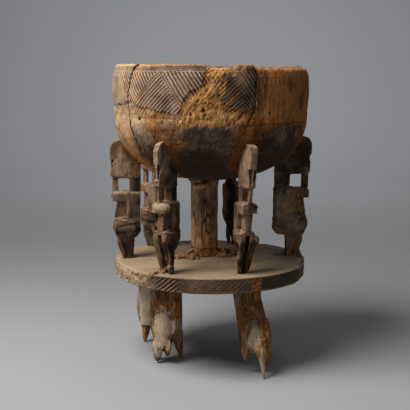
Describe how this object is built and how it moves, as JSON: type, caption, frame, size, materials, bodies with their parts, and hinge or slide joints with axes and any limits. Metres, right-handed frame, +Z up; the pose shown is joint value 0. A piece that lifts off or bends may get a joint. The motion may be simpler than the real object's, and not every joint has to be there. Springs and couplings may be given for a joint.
{
  "type": "carved caryatid bowl stand",
  "caption": "Deep round carved wooden bowl held up by a ring of seated figures and a centre column on a disc platform with eroded stump legs.",
  "frame": {"origin": "on the ground under the middle of the object", "axes": "+Z up from the legs to the bowl's rim, -Y the front as pictured, +X to the right of it"},
  "size_m": [0.3185, 0.3071, 0.461],
  "materials": {
    "raw_wood": "dry, fibrous, eroded",
    "smoky_wood": "worn smoky patina",
    "dusty_wood": "dusty, matt",
    "stump_wood": "weathered, split"
  },
  "bodies": {
    "root": {"bowl": "raw_wood", "bowl_left_stave": "raw_wood", "bowl_right_stave": "raw_wood", "centre_column": "stump_wood", "platform": "dusty_wood", "figure_left": "smoky_wood", "figure_front_left": "smoky_wood", "figure_front_right": "smoky_wood", "figure_right": "smoky_wood", "figure_back_left": "smoky_wood", "figure_back_right": "smoky_wood", "leg_front_left": "stump_wood", "leg_front_right": "stump_wood", "leg_back_left": "stump_wood", "leg_back_right": "stump_wood"}
  },
  "joints": []
}
